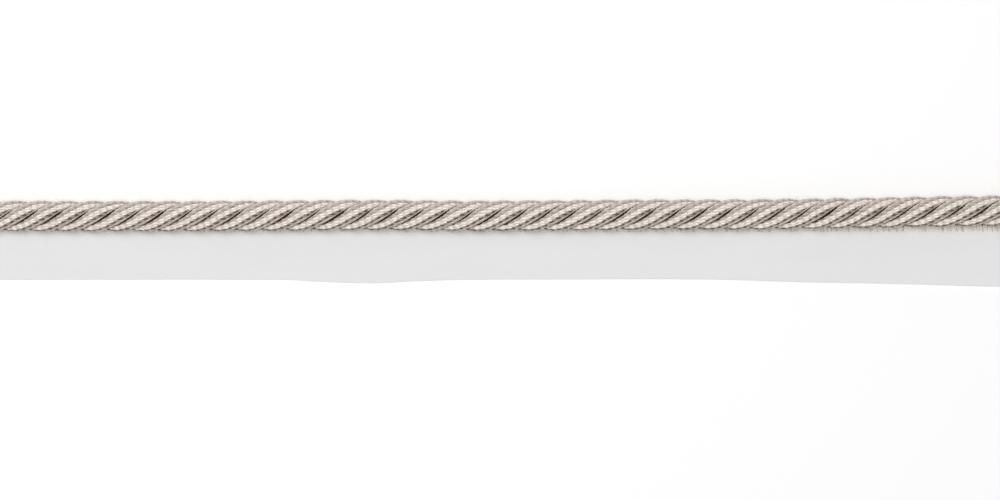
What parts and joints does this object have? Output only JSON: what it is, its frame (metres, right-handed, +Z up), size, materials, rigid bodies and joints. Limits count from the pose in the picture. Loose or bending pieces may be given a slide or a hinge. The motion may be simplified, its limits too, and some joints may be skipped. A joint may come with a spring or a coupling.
{
  "type": "lip cord trim",
  "caption": "Straight cut length of twisted four-strand rope trim with a flat woven lip tape along one side, for sewing into seams.",
  "frame": {"origin": "on the surface the trim lies on, under the middle of its bounding box", "axes": "+X along the cord, +Y from the lip to the cord, +Z up from the surface"},
  "size_m": [0.34, 0.0294, 0.0097],
  "materials": {
    "cord_yarn": "softly shining twisted yarn, off-white with taupe ends",
    "tape_cotton": "matt, fine close weave"
  },
  "bodies": {
    "root": {"cord": "cord_yarn", "lip_tape": "tape_cotton"}
  },
  "joints": []
}
